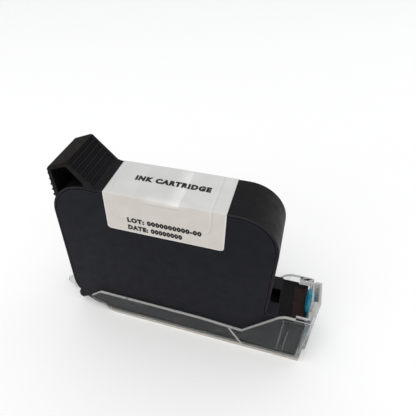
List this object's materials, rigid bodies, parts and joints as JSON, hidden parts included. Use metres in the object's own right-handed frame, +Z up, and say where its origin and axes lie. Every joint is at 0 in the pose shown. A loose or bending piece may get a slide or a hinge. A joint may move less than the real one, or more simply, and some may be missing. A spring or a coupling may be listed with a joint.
{
  "type": "inkjet cartridge in storage clip",
  "caption": "Flat black ink cartridge with a ribbed hollow grip, side covers, wrap label and printing snout, lying in a clear storage clip with a blue nozzle seal.",
  "frame": {"origin": "on the resting face under the clip's floor, below the middle of the cartridge body", "axes": "+X towards the nozzles, +Y from the near side cover to the far one, +Z up from the resting face to the label"},
  "size_m": [0.097, 0.0198, 0.0676],
  "materials": {
    "frame_plastic": "satin black moulded plastic with fine spark texture",
    "cover_plastic": "matt black moulded cover",
    "liner_plastic": "natural semi-soft plastic",
    "label_paper": "white self-adhesive label, slightly satin",
    "bag_film": "laminated barrier film",
    "plate_steel": "rolled stainless steel",
    "flex_film": "dark brown polyimide film",
    "gold_pad": "gold plated copper",
    "silicon": "polished silicon",
    "nozzle_film": "amber nozzle film",
    "encapsulant": "black potting bead",
    "clear_plastic": "clear injection-moulded styrene",
    "blue_silicone": "translucent blue silicone rubber"
  },
  "bodies": {
    "cartridge": {"frame": "frame_plastic", "inner_frame": "liner_plastic", "near_cover": "cover_plastic", "far_cover": "cover_plastic", "label": "label_paper", "near_bag_film": "bag_film", "far_bag_film": "bag_film", "bow_spring": "plate_steel", "filter_carrier": "liner_plastic", "near_filter_screen": "plate_steel", "far_filter_screen": "plate_steel", "ink_tube": "liner_plastic", "fill_plug": "plate_steel", "flex_circuit": "flex_film", "contact_pads": "gold_pad", "printhead_die": "silicon", "nozzle_plate": "nozzle_film", "encapsulant": "encapsulant"},
    "near_plate": {"near_pressure_plate": "plate_steel", "near_edge_guard": "liner_plastic"},
    "far_plate": {"far_pressure_plate": "plate_steel", "far_edge_guard": "liner_plastic"},
    "clip": {"clip": "clear_plastic", "seal": "blue_silicone"}
  },
  "joints": [
    {"name": "clip_slide", "type": "slide", "parent": "cartridge", "child": "clip", "axis": [1, 0, 0], "range_m": [0, 0.1]},
    {"name": "near_plate_slide", "type": "slide", "parent": "cartridge", "child": "near_plate", "axis": [0, 1, 0], "range_m": [0, 0.0042], "stiffness_N_per_m": 40, "springref_m": -0.004, "deforming": ["bow_spring", "near_bag_film"]},
    {"name": "far_plate_slide", "type": "slide", "parent": "cartridge", "child": "far_plate", "axis": [0, -1, 0], "range_m": [0, 0.0042], "stiffness_N_per_m": 40, "springref_m": -0.004, "deforming": ["far_bag_film"]}
  ],
  "couplings": [
    {"joint": "far_plate_slide", "follows": "near_plate_slide", "ratio": 1}
  ]
}
